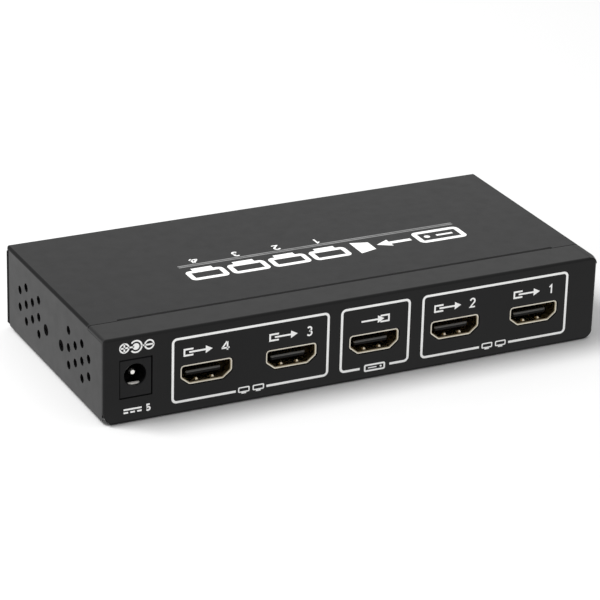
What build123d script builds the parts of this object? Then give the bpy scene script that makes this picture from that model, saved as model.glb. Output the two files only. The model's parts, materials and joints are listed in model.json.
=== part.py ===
from build123d import *
import os

# Folded steel case
case_width = 150.0
case_depth = 71.0
case_height = 25.0
sheet = 1.0
inner_fold_radius = 0.2
outer_fold_radius = 0.8
lower_corner_radius = 4.0
upright_edge_radius = 0.8
panel_gap = 0.15
overrun = 1.0
fit_clearance = 0.05
quarter_turn = 90
full_turn = 360
halfway_share = 0.5

# Small round pieces and holes are drawn with a few flat sides
small_round_side_count = 12

# Tray
band_depth = 10.5
band_left_corner_radius = 0.8
band_right_corner_radius = 2.0
rear_flange_depth = 8.0
side_gap = 0.25
tab_length = 18.0
tab_height = 15.0
tab_relief = 0.6

# Cover
side_wall_lift = 1.3
wall_corner_chamfer = 1.0
seam_gap = 1.1
seam_end_gap = 0.25
seam_end_length = 8.5
lip_length = 5.0
lip_clearance = 0.2

# Round vents in the short sides
vent_diameter = 2.6
vent_side_count = 8
vent_columns = 4
vent_rows = 5
vent_first_column = 11.0
vent_column_pitch = 4.75
vent_row_pitch = 2.55
vent_centre_height = 13.0

# Countersunk screws that hold the cover to the tray's side tabs
cover_screw_spacing = 11.2
cover_screw_height = 11.4
cover_screw_head_diameter = 3.3
cover_screw_head_depth = 0.65
cover_screw_diameter = 2.0
cover_screw_length = 4.0
cover_screw_clearance = 0.1
cover_screw_recess_width = 0.45
cover_screw_recess_depth = 0.5
recess_length_share = 0.6
thread_clearance = 0.03

# Circuit board on four standoffs, each with a six-sided foot pressed into the floor
board_side_margin = 4.0
board_front_margin = 1.5
board_rear_margin = 4.5
board_thickness = 1.6
board_height = 7.5
board_corner_chamfer = 1.0
board_hole_clearance = 0.2
board_slot_clearance = 0.12
standoff_side_margin = 5.0
standoff_front_margin = 19.0
standoff_rear_margin = 6.0
standoff_diameter = 5.5
standoff_foot_diameter = 4.8
standoff_foot_side_count = 6
board_screw_diameter = 3.0
board_screw_length = 5.0
board_screw_head_diameter = 5.4
board_screw_head_height = 1.9
board_screw_head_chamfer = 0.6

# Five video sockets in one row
socket_names = ["output_4", "output_3", "input", "output_2", "output_1"]
first_socket_from_jack = 20.63
last_socket_margin = 19.9
socket_lift = 0.6
socket_recess = 0.3
socket_width = 15.05
socket_height = 5.7
socket_cut_width = 2.6
socket_cut_height = 2.1
socket_corner_radius = 0.9
socket_wall = 0.5
socket_length = 11.5
socket_window_clearance = 0.2
mouth_chamfer = 0.18
finger_width = 2.2
finger_length = 4.5
finger_slot = 0.25
finger_spacing = 4.7
finger_setback = 0.6
dimple_radius = 0.75
dimple_tip_radius = 0.35
dimple_rise = 0.45
dimple_setback = 1.7
dimple_side_count = 6
tail_width = 1.4
tail_below_board = 0.5
tail_place_shares = [0.26, 0.8]

# Socket insulator and its contacts
tongue_width = 10.2
tongue_thickness = 1.3
tongue_setback = 2.0
tongue_chamfer = 0.25
insulator_block_setback = 7.4
insulator_foot_length = 1.4
insulator_foot_width = 1.6
insulator_foot_spacing = 12.0
contact_pitch = 1.0
contact_width = 0.3
contact_thickness = 0.15
contact_setback = 1.2
upper_contact_count = 10
lower_contact_count = 9

# Round power jack
jack_side_margin = 9.07
jack_width = 9.0
jack_height = 11.0
jack_collar_depth = 3.4
jack_body_step = 0.3
jack_body_chamfer = 2.2
jack_length = 14.0
jack_window_gap = 0.08
jack_window_gap_right = 0.4
jack_window_gap_below = 0.25
jack_bore_diameter = 6.3
jack_bore_depth = 9.6
jack_bore_height = 6.25
jack_mouth_chamfer = 0.2
jack_round_side_count = 24
jack_pin_diameter = 2.1
jack_pin_setback = 1.9
jack_pin_chamfer = 0.45
jack_terminal_width = 2.2
jack_terminal_thickness = 0.4
jack_terminal_rise = 1.6
jack_slot_clearance = 0.1
leaf_width = 3.2
leaf_drop = 2.7
leaf_setback = 1.0
leaf_flat = 2.4
leaf_slope = 1.2
leaf_dip = 0.8
leaf_leg_setback = 11.0
switch_width = 1.6
switch_rise = 5.2
switch_setback = 8.0

# Status lamps on the side away from the connectors
lamp_names = ["output_4", "output_3", "output_2", "output_1", "input", "power"]
lamp_side_margin = 35.0
lamp_height = 12.5
lamp_diameter = 3.0
lamp_flange_diameter = 3.8
lamp_flange_thickness = 1.0
lamp_length = 5.0
lamp_shoulder = 1.0
lamp_shoulder_share = 0.8
lamp_tip_share = 0.4
lamp_recess = 0.2
lamp_hole_clearance = 0.15
lamp_lead_width = 0.5
lamp_lead_spacing = 2.54
lamp_lead_reach = 1.6

# Flat chips with their pads beneath them, and the heat sink
flat_chip_chamfer = 0.1
memory_x_share = 0.68
memory_y_share = 0.77
memory_length = 6.0
memory_width = 5.0
memory_height = 0.8
splitter_x_share = 0.53
splitter_y_share = 0.58
splitter_size = 10.0
splitter_height = 0.9
guard_gap = 3.0
guard_length = 2.5
guard_width = 1.0
guard_height = 0.5
pad_thickness = 0.5
sink_size = 18.0
sink_base = 2.0
sink_height = 9.0
sink_fin_count = 7
sink_fin_thickness = 1.0

# Power supply parts
regulator_x_share = 0.16
regulator_y_share = 0.49
regulator_length = 6.5
regulator_width = 3.5
regulator_height = 1.6
regulator_tab_width = 3.0
regulator_lift = 0.1
regulator_chamfer = 0.2
regulator_lead_count = 3
regulator_lead_pitch = 2.3
regulator_lead_width = 0.7
regulator_lead_thickness = 0.2
regulator_lead_reach = 1.0
lead_knee_share = 0.35
inductor_x_share = 0.15
inductor_y_share = 0.68
inductor_size = 7.0
inductor_height = 4.5
inductor_core_diameter = 5.6
inductor_plate = 0.9
inductor_corner_chamfer = 1.2
can_from_standoff = 7.0
can_y_share = 0.83
can_pitch = 9.0
can_count = 3
can_diameter = 6.3
can_height = 7.7
can_base_size = 6.6
can_base_thickness = 0.8
can_base_chamfer = 1.2
can_chamfer = 0.5

# Crystal, ceramic capacitors and resistors
crystal_x_share = 0.53
crystal_y_share = 0.87
crystal_length = 10.6
crystal_width = 3.8
crystal_height = 3.5
crystal_flange = 0.4
crystal_flange_thickness = 0.5
crystal_end_chamfer = 1.1
crystal_top_chamfer = 0.4
ceramic_x_share = 0.36
ceramic_y_share = 0.34
ceramic_pitch = 3.2
ceramic_count = 10
ceramic_length = 1.6
ceramic_width = 0.8
ceramic_height = 0.8
resistor_x_share = 0.82
resistor_y_share = 0.61
resistor_pitch = 3.0
resistor_count = 12
resistor_length = 1.6
resistor_width = 0.8
resistor_height = 0.45

# Places that follow from the sizes
front_y = -case_depth / 2
rear_y = case_depth / 2
side_x = case_width / 2
inner_front_y = front_y + sheet
inner_rear_y = rear_y - sheet
inner_top = case_height - sheet
band_end_y = front_y + band_depth
rear_wall_top = inner_top - panel_gap
tab_face_x = side_x - sheet - side_gap
floor_side_x = side_x - lower_corner_radius
tab_root_x = floor_side_x - tab_relief
wall_front_y = inner_front_y + panel_gap
wall_rear_y = inner_rear_y - panel_gap
seam_end_x = side_x - seam_end_length
board_side_x = side_x - board_side_margin
board_width = 2 * board_side_x
board_front_y = front_y + board_front_margin
board_rear_y = rear_y - board_rear_margin
board_length = board_rear_y - board_front_y
board_bottom = board_height - board_thickness
standoff_x = board_side_x - standoff_side_margin
standoff_front_y = board_front_y + standoff_front_margin
standoff_rear_y = board_rear_y - standoff_rear_margin
tail_end = board_bottom - tail_below_board
jack_x = jack_side_margin - side_x
first_socket_x = jack_x + first_socket_from_jack
last_socket_x = side_x - last_socket_margin
socket_pitch = (last_socket_x - first_socket_x) / (len(socket_names) - 1)
socket_centre_height = board_height + socket_lift + socket_height / 2
socket_front_y = front_y + socket_recess
socket_rear_y = socket_front_y + socket_length
tongue_front_y = socket_front_y + tongue_setback
tongue_top = socket_centre_height
tongue_bottom = tongue_top - tongue_thickness
insulator_block_y = socket_front_y + insulator_block_setback
contact_leg_y = socket_rear_y + fit_clearance
insulator_rear_y = contact_leg_y + insulator_foot_length
jack_bore_z = board_height + jack_bore_height
jack_bore_radius = jack_bore_diameter / 2
jack_body_radius = jack_width / 2 - jack_body_step
jack_rear_y = front_y + jack_length
leaf_top = jack_bore_z - leaf_drop
leaf_front_y = front_y + leaf_setback
leaf_leg_y = front_y + leaf_leg_setback
lamp_tip_y = rear_y - lamp_recess
lamp_flange_y = lamp_tip_y - lamp_length
lamp_rear_y = lamp_flange_y - lamp_flange_thickness
lamp_lead_y = lamp_rear_y - lamp_lead_reach
first_lamp_x = lamp_side_margin - side_x
lamp_pitch = -2 * first_lamp_x / (len(lamp_names) - 1)
can_first_x = can_from_standoff - standoff_x


def around(centre, size):
    """Two limits, half the size to each side of the centre."""
    return (centre - size / 2, centre + size / 2)


def grown(limits, clearance):
    """The same limits with a clearance added at both ends."""
    return (min(limits) - clearance, max(limits) + clearance)


def block(x_limits, y_limits, z_limits):
    """Box between two limits along each axis."""
    limits = (x_limits, y_limits, z_limits)
    centre = [(low + high) / 2 for low, high in limits]
    sizes = [abs(high - low) for low, high in limits]
    return Pos(*centre) * Box(*sizes)


def across(section, x_limits):
    """Section drawn in Y and Z, carried along X."""
    low, high = x_limits
    return extrude(Plane.YZ.offset(low) * section, amount=high - low)


def along_depth(section, y_limits):
    """Section drawn in X and Z, carried along Y."""
    low, high = y_limits
    return extrude(Plane.XZ.offset(-high) * section, amount=high - low)


def small_round(radius, side_count=small_round_side_count):
    """Section of a small round piece or hole, drawn with flat sides."""
    return RegularPolygon(radius, side_count)


def level(radius, height, side_count):
    """Corners of a small round piece at one height."""
    step = full_turn / side_count
    return [Vector(radius, 0, height).rotate(Axis.Z, index * step) for index in range(side_count)]


def faceted(sections, side_count=small_round_side_count):
    """Small round piece about Z from (radius, height) pairs, lowest first, with flat faces."""
    levels = [level(radius, height, side_count) for radius, height in sections]
    faces = [Face(Wire.make_polygon(levels[0])), Face(Wire.make_polygon(levels[-1]))]
    for lower, upper in zip(levels, levels[1:]):
        for index in range(side_count):
            corners = [lower[index - 1], lower[index], upper[index], upper[index - 1]]
            faces.append(Face(Wire.make_polygon(corners)))
    return Part() + Solid(Shell(faces))


def faceted_along_y(x, z, sections, side_count=small_round_side_count):
    """The same about a line along Y, from (radius, y) pairs, connector side first."""
    return Pos(x, 0, z) * Rot(-quarter_turn, 0, 0) * faceted(sections, side_count)


def small_bar_along_x(radius, x_limits, y, z, side_count=small_round_side_count):
    return across(Pos(y, z) * small_round(radius, side_count), x_limits)


def small_bar_along_y(radius, x, y_limits, z, side_count=small_round_side_count):
    low, high = y_limits
    return faceted_along_y(x, z, [(radius, low), (radius, high)], side_count)


def small_bar_along_z(radius, x, y, z_limits, side_count=small_round_side_count):
    low, high = z_limits
    return Pos(x, y, low) * extrude(small_round(radius, side_count), amount=high - low)


def polygon(points):
    return make_face(Polyline(*points, close=True))


def folded_sheet(outer, inner):
    """Section of a folded sheet between its outer and inner corner points."""
    outer_line = FilletPolyline(*outer, radius=outer_fold_radius)
    inner_line = FilletPolyline(*inner, radius=inner_fold_radius)
    ends = [Line(outer[0], inner[0]), Line(outer[-1], inner[-1])]
    return make_face([*outer_line.edges(), *inner_line.edges(), *ends])


def cross_recess(head_diameter, width, depth):
    """Crossed slots below the top of a screw head whose top is at height zero."""
    length = head_diameter * recess_length_share
    one_way = block(around(0, length), around(0, width), (-depth, overrun))
    other_way = block(around(0, width), around(0, length), (-depth, overrun))
    return one_way + other_way


def socket_places():
    """Name and X of each socket, from the left as seen from the connector side."""
    return [(name, first_socket_x + index * socket_pitch) for index, name in enumerate(socket_names)]


def lamp_places():
    """Name and X of each status lamp."""
    return [(name, first_lamp_x + index * lamp_pitch) for index, name in enumerate(lamp_names)]


def standoff_places():
    """Centres (x, y) of the four standoffs."""
    return [(x, y) for x in (-standoff_x, standoff_x) for y in (standoff_front_y, standoff_rear_y)]


def cover_screw_places():
    """Side (-1 or 1) and Y of each cover screw."""
    half = cover_screw_spacing / 2
    return [(side, y) for side in (-1, 1) for y in (-half, half)]


def vent_places():
    """Centres (y, z) of the vents: two mirrored groups of staggered columns."""
    places = []
    for side in (-1, 1):
        for column in range(vent_columns):
            y = side * (vent_first_column + column * vent_column_pitch)
            for row in range(column % 2, vent_rows, 2):
                z = vent_centre_height + (row - (vent_rows - 1) / 2) * vent_row_pitch
                places.append((y, z))
    return places


def shell_tails(x):
    """Plan limits (x, y) of the four tails of the socket shell centred at x."""
    tails = []
    for side in (-1, 1):
        outside = x + side * socket_width / 2
        for place_share in tail_place_shares:
            x_limits = (outside - side * socket_wall, outside)
            tails.append((x_limits, around(socket_front_y + place_share * socket_length, tail_width)))
    return tails


def jack_pin_leg():
    """Plan limits (x, y) of the terminal behind the jack's pin."""
    return (around(jack_x, jack_terminal_width), (jack_rear_y, jack_rear_y + jack_terminal_thickness))


def jack_leaf_leg():
    """Plan limits (x, y) of the leg of the jack's spring leaf."""
    return (around(jack_x, leaf_width), (leaf_leg_y, leaf_leg_y + jack_terminal_thickness))


def jack_switch_leg():
    """Plan limits (x, y) of the jack's switch contact, flat on the side of its body."""
    inside = jack_x + jack_body_radius
    return ((inside, inside + jack_terminal_thickness), around(front_y + switch_setback, switch_width))


def lamp_legs():
    """Plan limits (x, y) of the two leads of each lamp."""
    half = lamp_lead_spacing / 2
    centres = [x + side * half for name, x in lamp_places() for side in (-1, 1)]
    return [(around(x, lamp_lead_width), (lamp_lead_y, lamp_lead_y + lamp_lead_width)) for x in centres]


def lamp_slots():
    """Plan limits (x, y) round both leads of each lamp."""
    slot_width = lamp_lead_spacing + lamp_lead_width
    y_limits = (lamp_lead_y, lamp_lead_y + lamp_lead_width)
    return [(around(x, slot_width), y_limits) for name, x in lamp_places()]


def through_board_legs():
    """Plan limits (x, y) of all that passes through the circuit board."""
    legs = [jack_pin_leg(), jack_leaf_leg(), jack_switch_leg(), *lamp_slots()]
    for name, x in socket_places():
        legs.extend(shell_tails(x))
    return legs


def corner_waste(u_side, v_side, radius):
    """Section outside a rounded corner, drawn about the centre of its arc."""
    reach = radius + overrun
    return Pos(u_side * reach / 2, v_side * reach / 2) * Rectangle(reach, reach) - Circle(radius)


def upright_corner(x_side, y_side):
    """Cutter that rounds one upright edge of the case."""
    centre = (x_side * (side_x - upright_edge_radius), y_side * (rear_y - upright_edge_radius))
    waste = Pos(*centre, -overrun) * corner_waste(x_side, y_side, upright_edge_radius)
    return extrude(waste, amount=case_height + 2 * overrun)


def band_corner(x_side, radius):
    """Cutter that rounds one end of the top band."""
    centre = (x_side * (side_x - radius), case_height - radius)
    waste = Pos(*centre) * corner_waste(x_side, 1, radius)
    return along_depth(waste, (front_y - overrun, band_end_y + overrun))


def lower_corner(x_side):
    """Cutter that rounds the lower corners of the connector wall and the far wall."""
    centre = (x_side * (side_x - lower_corner_radius), lower_corner_radius)
    waste = Pos(*centre) * corner_waste(x_side, -1, lower_corner_radius)
    return along_depth(waste, (front_y - overrun, rear_y + overrun))


def eased_outline(corners, radius):
    """Closed outline whose corners are rounded, each arc drawn as two chords."""
    points = []
    for index, corner in enumerate(corners):
        before = corners[index - 1]
        after = corners[(index + 1) % len(corners)]
        arc = FilletPolyline(before, corner, after, radius=radius).edges().filter_by(GeomType.CIRCLE)[0]
        ends = sorted([arc @ 0, arc @ 1], key=lambda end: (end - Vector(*before)).length)
        points += [ends[0], arc @ halfway_share, ends[1]]
    return polygon(points)


def socket_outline(grow):
    """Mouth of a video socket, wide side up and lower corners cut, grown all round."""
    half = socket_width / 2
    top = socket_height / 2
    corners = [
        (-half, top),
        (half, top),
        (half, socket_cut_height - top),
        (half - socket_cut_width, -top),
        (socket_cut_width - half, -top),
        (-half, socket_cut_height - top),
    ]
    mouth = eased_outline(corners, socket_corner_radius)
    return offset(mouth, amount=grow, kind=Kind.INTERSECTION) if grow else mouth


def socket_prism(x, grow, y_limits):
    return along_depth(Pos(x, socket_centre_height) * socket_outline(grow), y_limits)


def tray_sheet():
    """Flange, far wall, floor, connector wall and top band folded from one sheet."""
    outer = [
        (rear_y - rear_flange_depth, rear_wall_top),
        (rear_y, rear_wall_top),
        (rear_y, 0),
        (front_y, 0),
        (front_y, case_height),
        (band_end_y, case_height),
    ]
    inner = [
        (rear_y - rear_flange_depth, rear_wall_top - sheet),
        (inner_rear_y, rear_wall_top - sheet),
        (inner_rear_y, sheet),
        (inner_front_y, sheet),
        (inner_front_y, inner_top),
        (band_end_y, inner_top),
    ]
    return across(folded_sheet(outer, inner), (-side_x, side_x))


def screw_tab():
    """Tab folded up from the floor's right edge, with two threaded holes."""
    outer = [(tab_root_x, 0), (tab_face_x, 0), (tab_face_x, tab_height)]
    inside_x = tab_face_x - sheet
    inner = [(tab_root_x, sheet), (inside_x, sheet), (inside_x, tab_height)]
    tab = along_depth(folded_sheet(outer, inner), around(0, tab_length))
    radius = cover_screw_diameter / 2 + thread_clearance
    span = (inside_x - overrun, tab_face_x + overrun)
    right_places = [y for side, y in cover_screw_places() if side > 0]
    return tab - [small_bar_along_x(radius, span, y, cover_screw_height) for y in right_places]


def jack_window():
    """Cutter for the square window round the jack's collar."""
    left, right = around(jack_x, jack_width)
    x_limits = (left - jack_window_gap, right + jack_window_gap_right)
    z_limits = (board_height - jack_window_gap_below, board_height + jack_height + jack_window_gap)
    return block(x_limits, (front_y - overrun, inner_front_y + overrun), z_limits)


def build_base_tray():
    tray = tray_sheet()
    between_walls = (inner_front_y, inner_rear_y)
    below_band = (-overrun, inner_top)
    tab_notch = around(0, tab_length + 2 * tab_relief)
    cutters = [jack_window()]
    corners = [band_corner(-1, band_left_corner_radius), band_corner(1, band_right_corner_radius)]
    for side in (-1, 1):
        beyond = side * (side_x + overrun)
        cutters.append(block((side * floor_side_x, beyond), between_walls, below_band))
        cutters.append(block((side * tab_root_x, beyond), tab_notch, (-overrun, sheet + overrun)))
        corners.append(lower_corner(side))
        corners += [upright_corner(side, end) for end in (-1, 1)]
    front_window = (front_y - overrun, inner_front_y + overrun)
    cutters += [socket_prism(x, socket_window_clearance, front_window) for name, x in socket_places()]
    lamp_hole = lamp_diameter / 2 + lamp_hole_clearance
    rear_window = (inner_rear_y - overrun, rear_y + overrun)
    cutters += [small_bar_along_y(lamp_hole, x, rear_window, lamp_height) for name, x in lamp_places()]
    foot_hole = standoff_foot_diameter / 2 + fit_clearance
    floor = (-overrun, sheet + overrun)
    sides = standoff_foot_side_count
    cutters += [small_bar_along_z(foot_hole, x, y, floor, sides) for x, y in standoff_places()]
    tray = tray - cutters
    for corner in corners:
        tray = tray - corner
    tab = screw_tab()
    return tray + tab + mirror(tab, about=Plane.YZ)


def cover_sheet():
    """Top plate with both short sides folded down."""
    inside_x = side_x - sheet
    low = side_wall_lift
    outer = [(-side_x, low), (-side_x, case_height), (side_x, case_height), (side_x, low)]
    inner = [(-inside_x, low), (-inside_x, inner_top), (inside_x, inner_top), (inside_x, low)]
    folded = along_depth(folded_sheet(outer, inner), (wall_front_y, rear_y))
    return folded - [upright_corner(side, 1) for side in (-1, 1)]


def wall_corner(end_y, inward):
    """Cutter that bevels one lower corner of both side walls."""
    near = end_y - inward * overrun
    far = end_y + inward * (wall_corner_chamfer + overrun)
    low = side_wall_lift - overrun
    high = side_wall_lift + wall_corner_chamfer + overrun
    return across(polygon([(near, high), (far, low), (near, low)]), (-side_x - overrun, side_x + overrun))


def cover_lip():
    """Joggled lip that reaches under the tray's top band."""
    seam_y = band_end_y + seam_gap
    lip_top = inner_top - lip_clearance
    joggle = [
        (seam_y - lip_length, lip_top),
        (seam_y, lip_top),
        (seam_y, case_height),
        (seam_y + 2 * sheet, case_height),
        (seam_y + 2 * sheet, inner_top),
        (seam_y + sheet, lip_top - sheet),
        (seam_y - lip_length, lip_top - sheet),
    ]
    return across(polygon(joggle), (-seam_end_x, seam_end_x))


def on_cover_side(side, y, part):
    """Turn a part's Z outward and put it at one cover screw's place."""
    return Pos(side * side_x, y, cover_screw_height) * Rot(0, side * quarter_turn, 0) * part


def countersunk_hole(side, y):
    """Cutter for a countersunk hole in the cover's short side."""
    mouth_radius = cover_screw_head_diameter / 2 + fit_clearance
    throat_radius = cover_screw_diameter / 2 + cover_screw_clearance
    sections = [
        (throat_radius, -sheet - overrun),
        (throat_radius, -cover_screw_head_depth),
        (mouth_radius, 0),
        (mouth_radius, overrun),
    ]
    return on_cover_side(side, y, faceted(sections))


def build_top_cover():
    cover = cover_sheet()
    whole_width = (-side_x - overrun, side_x + overrun)
    ahead = front_y - overrun
    above_side_walls = (rear_wall_top, case_height + overrun)
    seam_ends = block(whole_width, (ahead, band_end_y + seam_end_gap), above_side_walls)
    seam = block((-seam_end_x, seam_end_x), (ahead, band_end_y + seam_gap), above_side_walls)
    behind_walls = (wall_rear_y, rear_y + overrun)
    below_plate = block(whole_width, behind_walls, (-overrun, inner_top))
    cutters = [seam_ends, seam, below_plate]
    cutters += [wall_corner(wall_front_y, 1), wall_corner(wall_rear_y, -1)]
    vent_radius = vent_diameter / 2
    vents = [small_bar_along_x(vent_radius, whole_width, y, z, vent_side_count) for y, z in vent_places()]
    cutters += vents
    cutters += [countersunk_hole(side, y) for side, y in cover_screw_places()]
    return cover - cutters + cover_lip()


def cover_screw(side, y):
    """Countersunk screw whose head lies flush with the cover's short side."""
    shank_radius = cover_screw_diameter / 2
    sections = [
        (shank_radius, -cover_screw_length),
        (shank_radius, -cover_screw_head_depth),
        (cover_screw_head_diameter / 2, 0),
    ]
    recess = cross_recess(cover_screw_head_diameter, cover_screw_recess_width, cover_screw_recess_depth)
    return on_cover_side(side, y, faceted(sections) - recess)


def standoff(x, y):
    """Pillar with a blind threaded bore, its six-sided foot pressed flush into the floor."""
    pillar = small_bar_along_z(standoff_diameter / 2, x, y, (sheet, board_bottom))
    foot = small_bar_along_z(standoff_foot_diameter / 2, x, y, (0, sheet), standoff_foot_side_count)
    bore_radius = board_screw_diameter / 2 + thread_clearance
    bore = small_bar_along_z(bore_radius, x, y, (sheet, board_bottom + overrun))
    return pillar - bore + foot


def board_screw(x, y):
    """Pan head screw through the board into a standoff."""
    head_radius = board_screw_head_diameter / 2
    head_sections = [
        (head_radius, -board_screw_head_height),
        (head_radius, -board_screw_head_chamfer),
        (head_radius - board_screw_head_chamfer, 0),
    ]
    shank_end = -board_screw_head_height - board_screw_length
    shank_radius = board_screw_diameter / 2
    shank = faceted([(shank_radius, shank_end), (shank_radius, -board_screw_head_height)])
    return Pos(x, y, board_height + board_screw_head_height) * (faceted(head_sections) + shank)


def build_circuit_board():
    outline = Rectangle(board_width, board_length)
    outline = chamfer(outline.vertices(), board_corner_chamfer)
    centre_y = board_front_y + board_length / 2
    board = Pos(0, centre_y, board_bottom) * extrude(outline, amount=board_thickness)
    depth = (board_bottom - overrun, board_height + overrun)
    hole_radius = board_screw_diameter / 2 + board_hole_clearance
    cutters = [small_bar_along_z(hole_radius, x, y, depth) for x, y in standoff_places()]
    for x_limits, y_limits in through_board_legs():
        x_slot = grown(x_limits, board_slot_clearance)
        cutters.append(block(x_slot, grown(y_limits, board_slot_clearance), depth))
    return board - cutters


def finger_slots(x, side):
    """Cutters that free one spring finger in the shell's lower (-1) or upper (1) wall."""
    outside = socket_centre_height + side * socket_height / 2
    wall = (outside - side * (socket_wall + overrun), outside + side * overrun)
    free_end = socket_front_y + finger_setback
    slot_x = finger_width / 2 + finger_slot
    cutters = [block((x - slot_x, x + slot_x), (free_end, free_end + finger_slot), wall)]
    for edge in (-1, 1):
        edge_x = (x + edge * finger_width / 2, x + edge * slot_x)
        cutters.append(block(edge_x, (free_end, free_end + finger_length), wall))
    return cutters


def finger_dimple(x, side):
    """Low dome pressed inward near the finger's free end."""
    inside = socket_centre_height + side * (socket_height / 2 - socket_wall)
    root = -socket_wall * halfway_share
    sections = [(dimple_radius, root), (dimple_radius, 0), (dimple_tip_radius, dimple_rise)]
    inward = Rot((1 + side) * quarter_turn, 0, 0)
    return Pos(x, socket_front_y + dimple_setback, inside) * inward * faceted(sections, dimple_side_count)


def socket_shell(x):
    """Stamped tube with an eased mouth, four spring fingers and four board tails."""
    span = (socket_front_y, socket_rear_y)
    tube = socket_prism(x, 0, span) - socket_prism(x, -socket_wall, span)
    mouth = tube.faces().sort_by(Axis.Y)[0].inner_wires()[0]
    tube = Part() + tube.chamfer(mouth_chamfer, None, mouth.edges())
    cutters = []
    dimples = []
    for side in (-1, 1):
        for finger_x in around(x, finger_spacing):
            cutters += finger_slots(finger_x, side)
            dimples.append(finger_dimple(finger_x, side))
    tails = [block(*limits, (tail_end, socket_centre_height)) for limits in shell_tails(x)]
    return tube - cutters + dimples + tails


def contact_places(count, x):
    """Centres of one row of contacts, evenly spaced about x."""
    return [x + (index - (count - 1) / 2) * contact_pitch for index in range(count)]


def contact_row_span(count, x):
    """X limits of one row of contacts with its running clearance."""
    return around(x, (count - 1) * contact_pitch + contact_width + 2 * fit_clearance)


def socket_insulator(x):
    """Moulded block that closes the shell, with the tongue and two feet."""
    block_span = (insulator_block_y, contact_leg_y)
    body = socket_prism(x, -socket_wall - fit_clearance, block_span)
    tongue_z = (tongue_bottom, tongue_top)
    tongue = block(around(x, tongue_width), (tongue_front_y, insulator_block_y), tongue_z)
    tongue = chamfer(tongue.edges().group_by(Axis.Y)[0], tongue_chamfer)
    feet = []
    for foot_x in around(x, insulator_foot_spacing):
        foot_y = (contact_leg_y, insulator_rear_y)
        feet.append(block(around(foot_x, insulator_foot_width), foot_y, (board_height, tongue_top)))
    passage = grown(block_span, overrun)
    channel = contact_thickness + fit_clearance
    upper_z = (tongue_top, tongue_top + channel)
    lower_z = (tongue_bottom - channel, tongue_bottom)
    upper = block(contact_row_span(upper_contact_count, x), passage, upper_z)
    lower = block(contact_row_span(lower_contact_count, x), passage, lower_z)
    return body - [upper, lower] + tongue + feet


def contact_section(face, away):
    """Section (y, z) of a contact lying on one face of the tongue, with its leg down to the board."""
    tip_y = tongue_front_y + contact_setback
    skin = face + away * contact_thickness
    high = max(face, skin)
    low = min(face, skin)
    leg_rear_y = contact_leg_y + contact_thickness
    return polygon(
        [
            (tip_y, high),
            (leg_rear_y, high),
            (leg_rear_y, board_height),
            (contact_leg_y, board_height),
            (contact_leg_y, low),
            (tip_y, low),
        ]
    )


def socket_contacts(x):
    """Nineteen strips in two staggered rows, above and below the tongue."""
    upper = contact_section(tongue_top, 1)
    lower = contact_section(tongue_bottom, -1)
    rows = [(upper, upper_contact_count), (lower, lower_contact_count)]
    return [
        across(section, around(place, contact_width))
        for section, count in rows
        for place in contact_places(count, x)
    ]


def leaf_profile():
    """Section (y, z) of the jack's spring leaf, from its front end down to its leg."""
    thick = jack_terminal_thickness
    flat_end = leaf_front_y + leaf_flat
    slope_end = flat_end + leaf_slope
    low_top = leaf_top - leaf_dip
    return [
        (leaf_front_y, leaf_top),
        (flat_end, leaf_top),
        (slope_end, low_top),
        (leaf_leg_y + thick, low_top),
        (leaf_leg_y + thick, tail_end),
        (leaf_leg_y, tail_end),
        (leaf_leg_y, low_top - thick),
        (slope_end, low_top - thick),
        (flat_end, leaf_top - thick),
        (leaf_front_y, leaf_top - thick),
    ]


def build_power_jack_housing():
    collar_y = (front_y, front_y + jack_collar_depth)
    collar = block(around(jack_x, jack_width), collar_y, (board_height, board_height + jack_height))
    body_x = around(jack_x, 2 * jack_body_radius)
    body = block(body_x, (collar_y[1], jack_rear_y), (board_height, jack_bore_z + jack_body_radius))
    body = chamfer(body.edges().filter_by(Axis.Y).group_by(Axis.Z)[-1], jack_body_chamfer)
    mouth_radius = jack_bore_radius + jack_mouth_chamfer
    bore_sections = [
        (mouth_radius, front_y - overrun),
        (mouth_radius, front_y),
        (jack_bore_radius, front_y + jack_mouth_chamfer),
        (jack_bore_radius, front_y + jack_bore_depth),
    ]
    bore = faceted_along_y(jack_x, jack_bore_z, bore_sections, jack_round_side_count)
    pin_hole = jack_pin_diameter / 2 + fit_clearance
    slot_x = grown(around(jack_x, leaf_width), jack_slot_clearance)
    leg_y = leaf_leg_y + jack_terminal_thickness + jack_slot_clearance
    pocket_floor = leaf_top - leaf_dip - jack_terminal_thickness - fit_clearance
    pocket_y = (leaf_front_y - jack_slot_clearance, leg_y)
    cutters = [
        bore,
        small_bar_along_y(pin_hole, jack_x, (front_y, jack_rear_y + overrun), jack_bore_z),
        block(slot_x, pocket_y, (pocket_floor, leaf_top + jack_slot_clearance)),
        block(slot_x, (leaf_leg_y - jack_slot_clearance, leg_y), (board_height - overrun, leaf_top)),
    ]
    return collar + body - cutters


def build_power_jack_pin():
    """Centre pin with its flat terminal behind the housing."""
    tip_y = front_y + jack_pin_setback
    radius = jack_pin_diameter / 2
    shoulder = (radius, tip_y + jack_pin_chamfer)
    sections = [(radius - jack_pin_chamfer, tip_y), shoulder, (radius, jack_rear_y)]
    terminal = block(*jack_pin_leg(), (tail_end, jack_bore_z + jack_terminal_rise))
    return faceted_along_y(jack_x, jack_bore_z, sections) + terminal


def build_power_jack_spring():
    return across(polygon(leaf_profile()), around(jack_x, leaf_width))


def build_power_jack_switch_contact():
    return block(*jack_switch_leg(), (tail_end, board_height + switch_rise))


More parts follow.
